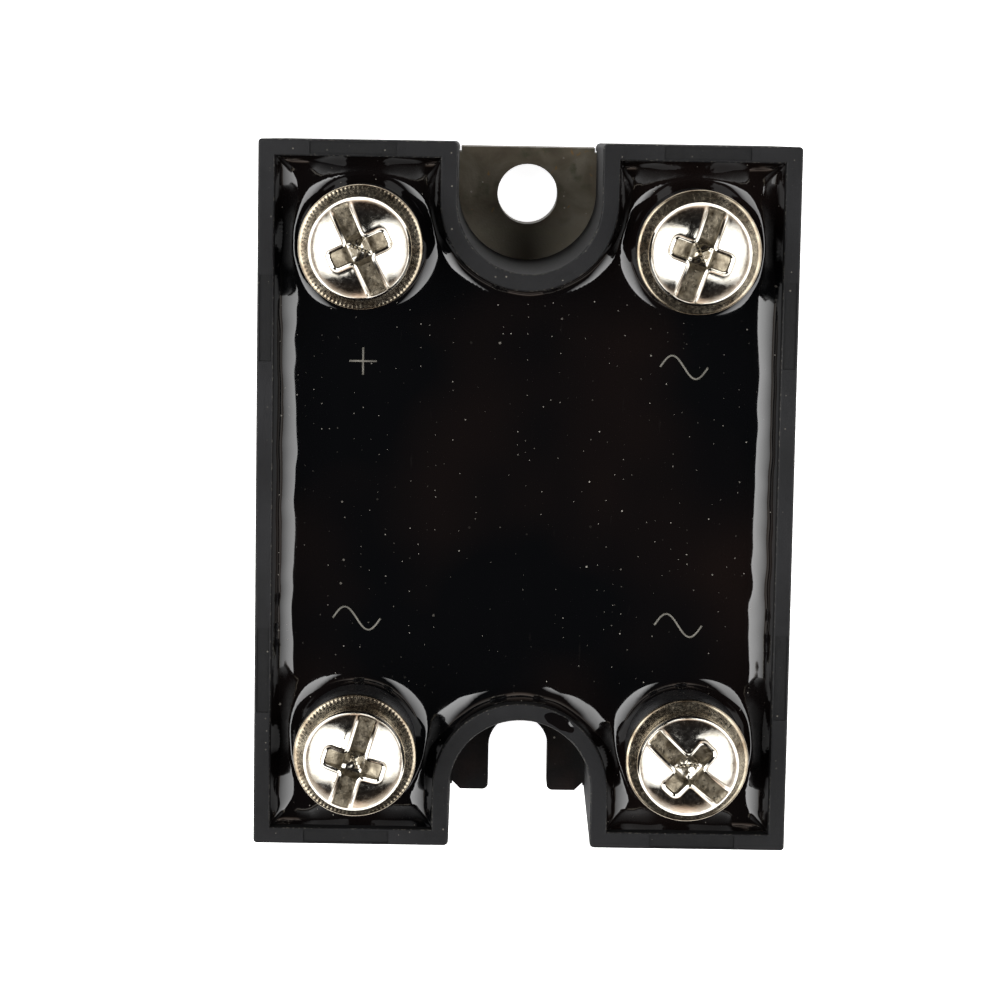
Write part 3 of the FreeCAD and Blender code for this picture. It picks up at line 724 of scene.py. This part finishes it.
def head_profile(inner, top, foot):
    """Rounded edge, side and underside of the head: (radius, height) from the upper face's rim to the
    shank."""
    slope = math.asin(inner / DOME_RADIUS)
    bend = (HEAD_RADIUS - inner) / (1.0 - math.sin(slope))
    rim = top - dome_drop(inner)
    profile = []
    for step in range(1, ROUNDING_STEPS + 1):
        angle = slope + (math.pi / 2 - slope) * step / ROUNDING_STEPS
        profile.append((inner + bend * (math.sin(angle) - math.sin(slope)),
                        rim - bend * (math.cos(slope) - math.cos(angle))))
    profile += [(HEAD_RADIUS - inwards * MM, foot + up * MM) for inwards, up in LOWER_EDGE]
    profile += [(THREAD_CREST + 0.1 * MM, foot), (THREAD_ROOT, foot - NECK_DROP)]
    return profile


def thread_radius(height, angle, tip, thread_top):
    """Radius of a right-hand thread that fades in under the head and out at the tip."""
    phase = (height / THREAD_PITCH - angle / (2 * math.pi)) % 1.0
    ridge = 1.0 - abs(2.0 * phase - 1.0)
    full = max(min(1.0, (height - tip) / TIP_FADE, (thread_top - height) / NECK_FADE), 0.0)
    return THREAD_ROOT - NECK_SLIMMING * (1.0 - full) + (THREAD_CREST - THREAD_ROOT) * ridge * full


def make_screw(name, materials):
    """A screw: the head's upper face, then rings of points down its side, its neck and its thread."""
    low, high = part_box(f"terminal_screw_{name}")
    middle = centre_of(f"terminal_screw_{name}")
    foot = high.z - HEAD_HEIGHT + SEAT_GAP
    top = high.z - BEAD_HEIGHT
    inner = HEAD_RADIUS - HEAD_EDGE_RADIUS
    vertices, faces, angles = head_face(inner, top)
    upper_faces = len(faces)
    around = len(angles)
    rings = [list(range(around))]
    rows = [[(radius * math.cos(t), radius * math.sin(t), height) for t in angles]
            for radius, height in head_profile(inner, top, foot)]
    thread_top = foot - NECK_DROP
    count = int((thread_top - low.z) / (THREAD_PITCH / ROWS_PER_TURN))
    for row in range(1, count + 1):
        height = thread_top + (low.z - thread_top) * row / count
        radii = [thread_radius(height, t, low.z, thread_top) for t in angles]
        rows.append([(r * math.cos(t), r * math.sin(t), height) for r, t in zip(radii, angles)])
    for row in rows:
        rings.append(list(range(len(vertices), len(vertices) + around)))
        vertices.extend(row)
    for upper, lower in zip(rings, rings[1:]):
        for step in range(around):
            after = (step + 1) % around
            faces.append((upper[step], upper[after], lower[after], lower[step]))
    faces.append(tuple(reversed(rings[-1])))
    turn = Matrix.Translation(middle) @ Matrix.Rotation(math.radians(SLOT_ANGLES[name]), 4, "Z")
    screw = piece_from(f"screw_{name}", [turn @ Vector(v) for v in vertices], faces, f"screw_{name}",
                       materials["plated_steel"], SCREW_SHARP_ANGLE)
    screw.data.materials.append(materials["recess"])
    for polygon, face in zip(screw.data.polygons, faces[:upper_faces]):
        a, b = face_centre(vertices, face)
        if recess_distance(a, b) < 0.0 and max(abs(a), abs(b)) > DULL_FROM:
            polygon.material_index = 1
    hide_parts(f"terminal_screw_{name}")


# ---------------------------------------------------------------------------------------------------------
# Captive washer: dished, nearly flat outside the screw's head, and on two of the four ribbed near its edge

RIB_COUNT = 90
RIB_SAMPLES = 6
RIB_DEPTH = 0.013 * MM
RIB_START = 0.60
RIB_BLEND = 0.20
EDGE_ROUNDING = 0.17 * MM
FLANGE_RADIUS = 3.75 * MM
FLANGE_SLOPE = 0.10
SCREW_HOLE_RADIUS = 2.25 * MM
WASHER_THICKNESS = 0.75 * MM
WASHER_SHARP_ANGLE = 40
CONE_STEPS = 5
FLANGE_SHARES = (0.0, 0.3, 0.5, 0.58, 0.66, 0.74, 0.82)
ROUNDING_ANGLES = (80, 64, 48, 32, 16, 0)


def make_washer(name, materials):
    """A washer: a profile of (radius, height, share of the upper flange), turned about the axis."""
    low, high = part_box(f"terminal_washer_{name}")
    middle = centre_of(f"terminal_washer_{name}")
    outer = (high.x - low.x) / 2
    hole = SCREW_HOLE_RADIUS
    edge_top = low.z + WASHER_THICKNESS
    flange_top = edge_top + (outer - FLANGE_RADIUS) * FLANGE_SLOPE
    rib_depth = RIB_DEPTH if name in RIBBED_WASHERS else 0.0
    around = RIB_COUNT * RIB_SAMPLES
    upper = [(hole + 0.08 * MM, high.z - 0.02 * MM, 0.0)]
    for step in range(1, CONE_STEPS):
        share = step / CONE_STEPS
        upper.append((hole + (FLANGE_RADIUS - hole) * share, high.z + (flange_top - high.z) * share, 0.0))
    for share in FLANGE_SHARES:
        upper.append((FLANGE_RADIUS + (outer - FLANGE_RADIUS) * share,
                      flange_top + (edge_top - flange_top) * share, share))
    for angle in map(math.radians, ROUNDING_ANGLES):
        upper.append((outer - EDGE_ROUNDING * (1 - math.cos(angle)),
                      edge_top - EDGE_ROUNDING * (1 - math.sin(angle)), 1.0))
    profile = upper + [(outer, low.z + 0.12 * MM, 0.0), (outer - 0.05 * MM, low.z + 0.02 * MM, 0.0),
                       (outer - 0.12 * MM, low.z + 0.03 * MM, 0.0),
                       (FLANGE_RADIUS, flange_top - 0.9 * WASHER_THICKNESS, 0.0),
                       (hole + 0.05 * MM, high.z - WASHER_THICKNESS - 0.02 * MM, 0.0),
                       (hole, high.z - WASHER_THICKNESS + 0.05 * MM, 0.0), (hole, high.z - 0.10 * MM, 0.0)]
    vertices = []
    for radius, height, share in profile:
        ribbed = min(max((share - RIB_START) / RIB_BLEND, 0.0), 1.0)
        for step in range(around):
            angle = 2 * math.pi * step / around
            sunk = rib_depth * (0.5 - 0.5 * math.cos(RIB_COUNT * angle)) * ribbed
            spot = (middle.x + radius * math.cos(angle), middle.y + radius * math.sin(angle), height - sunk)
            vertices.append(spot)
    faces = []
    count = len(profile)
    for ring in range(count):
        below = (ring + 1) % count
        for step in range(around):
            after = (step + 1) % around
            faces.append((ring * around + step, ring * around + after,
                          below * around + after, below * around + step))
    washer = piece_from(f"washer_{name}", vertices, faces, f"washer_{name}",
                        materials["washer"], WASHER_SHARP_ANGLE)
    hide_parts(f"terminal_washer_{name}")


# ---------------------------------------------------------------------------------------------------------
# Printed marks on the resin: a plus sign, and a wave sign at each alternating-current terminal

STROKE = 0.15 * MM
INK_THICKNESS = 0.015 * MM

# Each mark's X and Y in millimetres
MARKS = {"plus": (-13.3, 10.8), "ac1": (12.8, 10.7), "ac2": (-13.6, -10.4), "ac3": (12.8, -10.6)}
PLUS_HALF = 1.12 * MM
WAVE_LENGTH = 3.9 * MM
WAVE_HEIGHT = 0.95 * MM
WAVE_STEPS = 36


def stroke_along(line):
    """A thin closed strip of ink along a line of points, half sunk in the resin."""
    vertices = []
    for index, point in enumerate(line):
        before = line[max(index - 1, 0)]
        after = line[min(index + 1, len(line) - 1)]
        direction = (Vector(after) - Vector(before)).normalized()
        side = Vector((-direction.y, direction.x)) * STROKE / 2
        for offset, raised in ((side, False), (side, True), (-side, True), (-side, False)):
            spot = Vector(point) + offset
            lift = INK_THICKNESS if raised else -INK_THICKNESS
            vertices.append((spot.x, spot.y, resin_height(spot.x, spot.y) + lift))
    faces = []
    for index in range(len(line) - 1):
        for corner in range(4):
            after = (corner + 1) % 4
            here = index * 4
            beyond = here + 4
            faces.append((here + corner, here + after, beyond + after, beyond + corner))
    faces.append((3, 2, 1, 0))
    last = (len(line) - 1) * 4
    faces.append((last, last + 1, last + 2, last + 3))
    return vertices, faces


def make_mark(name, materials):
    """A terminal's printed sign."""
    x, y = (value * MM for value in MARKS[name])
    if name == "plus":
        lines = [[(x - PLUS_HALF, y), (x + PLUS_HALF, y)],
                 [(x, y + STROKE / 2), (x, y + PLUS_HALF)], [(x, y - PLUS_HALF), (x, y - STROKE / 2)]]
    else:
        shares = [i / WAVE_STEPS for i in range(WAVE_STEPS + 1)]
        lines = [[(x + WAVE_LENGTH * (share - 0.5), y + WAVE_HEIGHT * math.sin(2 * math.pi * share))
                  for share in shares]]
    vertices = []
    faces = []
    for line in lines:
        more, quads = stroke_along(line)
        faces.extend(tuple(len(vertices) + index for index in quad) for quad in quads)
        vertices.extend(more)
    piece_from(f"printed_mark_{name}", vertices, faces, "root", materials["ink"])


# ---------------------------------------------------------------------------------------------------------
# Smear of resin that ran over the south notch's rim and set there

SMEAR_START = 49.0
SMEAR_END = 73.0
SMEAR_THICKNESS = 0.10 * MM
SMEAR_FOOT = 0.02 * MM
SMEAR_INNER_GAP = 0.22 * MM
SMEAR_OUTER_GAP = 0.10 * MM
SMEAR_ALONG = 28
SMEAR_ACROSS = 10
SMEAR_SHARP_ANGLE = 60
SMEAR_RAGGEDNESS = 0.18
SMEAR_SWELL = 0.7
SMEAR_SWELL_SPREAD = 0.45


def smear_point(u, v, level):
    """A point of the smear at u along it and v across it, both -1 to 1, on its foot (0) or its top (1)."""
    inner = NOTCH_BORE + SMEAR_INNER_GAP
    outer = NOTCH_OUTER - SMEAR_OUTER_GAP
    ragged = 1 + SMEAR_RAGGEDNESS * noise.noise(Vector((u * 2.3, 5.0, 1.0)))
    width = math.sqrt(max(1 - u * u, 0.04)) * ragged
    angle = math.radians(SMEAR_START + (SMEAR_END - SMEAR_START) * (u + 1) / 2)
    radius = (inner + outer) / 2 + (outer - inner) / 2 * v * min(width, 1.0)
    uneven = SMEAR_SWELL + SMEAR_SWELL_SPREAD * noise.noise(Vector((u * 2.5, v * 1.5, 7.0)))
    swell = (1 - u * u) * (1 - v * v) * uneven
    height = HOUSING[1].z + (SMEAR_THICKNESS * max(swell, 0.0) if level else -SMEAR_FOOT)
    return (radius * math.cos(angle), -NOTCH_CENTRE_Y + radius * math.sin(angle), height)


def make_smear(materials):
    """A thin lens of resin on the rim of the south notch, between two angles from the notch's centre."""
    across = SMEAR_ACROSS
    along = SMEAR_ALONG
    vertices = [smear_point(2 * i / along - 1, 2 * j / across - 1, level)
                for level in (0, 1) for i in range(along + 1) for j in range(across + 1)]
    faces = []
    row = across + 1
    layer = row * (along + 1)
    for i in range(along):
        for j in range(across):
            corner = i * row + j
            quad = (corner, corner + 1, corner + row + 1, corner + row)
            faces.append(tuple(layer + c for c in quad))
            faces.append(tuple(reversed(quad)))
    border = list(range(across)) + [across + i * row for i in range(along)]
    border += [along * row + j for j in range(across, 0, -1)] + [i * row for i in range(along, 0, -1)]
    for index, start in enumerate(border):
        end = border[(index + 1) % len(border)]
        faces.append((start, end, layer + end, layer + start))
    piece_from("resin_smear", vertices, faces, "root", materials["resin"], SMEAR_SHARP_ANGLE)


# ---------------------------------------------------------------------------------------------------------
# Materials of the CAD nodes


def dress_frame(materials):
    """Gives each CAD node the material that the record names for it."""
    for part in frame["record"]["subparts"]:
        node = frame["nodes"][part["node"]]
        node.data.materials.clear()
        node.data.materials.append(materials[part["material_slot"]])


# ---------------------------------------------------------------------------------------------------------
# Stage: pale lit table, a large soft box on each side, and a warm horizon under a dark ceiling

TABLE_SIZE = 3.0
TABLE_GLOW = 0.95
BOX_ANGLE = 47.0
BOX_DISTANCE = 0.60
BOX_WIDTH = 0.62
BOX_LENGTH = 1.05
BOX_POWER = {-1: 14.6, 1: 11.8}

# Stops of brightness across a box, from its lower edge up, and along it, from end to end
BOX_FADES = {
    "X": ((0.0, 0.22), (0.45, 0.55), (1.0, 1.0)),
    "Y": ((0.0, 0.10), (0.22, 1.0), (0.78, 1.0), (1.0, 0.10)),
}

# Stops of the sky's colour by height, and of the warm glow added to it towards the north and the south
SKY = ((0.07, (0.95, 0.87, 0.80)), (0.19, (0.40, 0.33, 0.28)), (0.29, (0.022, 0.017, 0.014)),
       (0.62, (0.012, 0.011, 0.011)))
GLOW = ((0.95, (0.0, 0.0, 0.0)), (0.99, (0.50, 0.36, 0.28)))


def make_table():
    """A white table that gives off light, as the photograph's background is pure white."""
    half = TABLE_SIZE / 2
    mesh = bpy.data.meshes.new("table")
    corners = [(-half, -half, 0), (half, -half, 0), (half, half, 0), (-half, half, 0)]
    mesh.from_pydata(corners, [], [(0, 1, 2, 3)])
    paper = Surface("table_top", (0.92, 0.92, 0.92), 0.9, Specular_IOR_Level=0.1,
                    Emission_Color=(1.0, 1.0, 1.0, 1.0), Emission_Strength=TABLE_GLOW)
    mesh.materials.append(paper.material)
    table = bpy.data.objects.new("table", mesh)
    bpy.context.scene.collection.objects.link(table)


def make_softbox(side):
    """A soft box that is brightest at its upper edge and fades towards its lower edge and its ends."""
    light = bpy.data.lights.new(f"softbox_{side}", "AREA")
    light.shape = "RECTANGLE"
    light.size = BOX_WIDTH
    light.size_y = BOX_LENGTH
    light.energy = BOX_POWER[side]
    light.use_nodes = True
    nodes = light.node_tree.nodes
    links = light.node_tree.links
    place = nodes.new("ShaderNodeNewGeometry")
    split = nodes.new("ShaderNodeSeparateXYZ")
    links.new(place.outputs["Parametric"], split.inputs[0])
    strengths = []
    for axis, stops in BOX_FADES.items():
        ramp = nodes.new("ShaderNodeValToRGB")
        fill_ramp(ramp, stops)
        links.new(split.outputs[axis], ramp.inputs["Fac"])
        strengths.append(ramp.outputs["Color"])
    product = nodes.new("ShaderNodeMath")
    product.operation = "MULTIPLY"
    for socket, strength in zip(product.inputs, strengths):
        links.new(strength, socket)
    links.new(product.outputs[0], nodes["Emission"].inputs["Strength"])
    holder = bpy.data.objects.new(light.name, light)
    tilt = math.radians(BOX_ANGLE) * side
    place_in_room = Matrix.Translation((math.sin(tilt) * BOX_DISTANCE, 0.0, math.cos(tilt) * BOX_DISTANCE))
    bright_edge_up = Matrix.Rotation(math.pi if side > 0 else 0.0, 4, "Z")
    holder.matrix_world = place_in_room @ Matrix.Rotation(tilt, 4, "Y") @ bright_edge_up
    bpy.context.scene.collection.objects.link(holder)


def make_surroundings():
    """A sky that is pale and warm at the horizon, most of all due north and due south, and dark above."""
    world = bpy.data.worlds.new("studio")
    world.use_nodes = True
    nodes = world.node_tree.nodes
    links = world.node_tree.links
    direction = nodes.new("ShaderNodeTexCoord")
    split = nodes.new("ShaderNodeSeparateXYZ")
    sky = nodes.new("ShaderNodeValToRGB")
    fill_ramp(sky, SKY)
    links.new(direction.outputs["Generated"], split.inputs[0])
    links.new(split.outputs["Z"], sky.inputs["Fac"])
    apart = nodes.new("ShaderNodeMath")
    apart.operation = "ABSOLUTE"
    links.new(split.outputs["Y"], apart.inputs[0])
    glow = nodes.new("ShaderNodeValToRGB")
    fill_ramp(glow, GLOW)
    links.new(apart.outputs[0], glow.inputs["Fac"])
    total = nodes.new("ShaderNodeVectorMath")
    links.new(sky.outputs["Color"], total.inputs[0])
    links.new(glow.outputs["Color"], total.inputs[1])
    links.new(total.outputs[0], nodes["Background"].inputs["Color"])
    bpy.context.scene.world = world
    bpy.context.scene.view_settings.view_transform = "Standard"


# ---------------------------------------------------------------------------------------------------------
# Camera, as fitted to the photograph

CAMERA_TILT = math.radians(7.915)
CAMERA_LEAN = math.radians(0.357)
CAMERA_ROLL = math.radians(-0.907)
CAMERA_DISTANCE = 309.19 * MM
CAMERA_ASIDE = Vector((-1.885, -2.829)) * MM
CAMERA_LENS = 128.5
SENSOR_WIDTH = 36.0


def make_camera():
    """The camera that fits the photograph: tilted, leant and rolled about the part's origin."""
    data = bpy.data.cameras.new("camera")
    data.sensor_width = SENSOR_WIDTH
    data.lens = CAMERA_LENS
    camera = bpy.data.objects.new("camera", data)
    turn = Matrix.Rotation(-CAMERA_TILT, 4, "X") @ Matrix.Rotation(-CAMERA_LEAN, 4, "Y")
    turn = turn @ Matrix.Rotation(-CAMERA_ROLL, 4, "Z")
    place = turn @ Vector((CAMERA_ASIDE.x, CAMERA_ASIDE.y, CAMERA_DISTANCE))
    camera.matrix_world = Matrix.Translation(place) @ turn
    bpy.context.scene.collection.objects.link(camera)
    bpy.context.scene.camera = camera


materials = make_materials()
dress_frame(materials)
make_resin(materials)
for terminal in TERMINALS:
    make_screw(terminal, materials)
    make_washer(terminal, materials)
    make_mark(terminal, materials)
make_smear(materials)
make_table()
for side in (-1, 1):
    make_softbox(side)
make_surroundings()
make_camera()
bpy.context.view_layer.update()
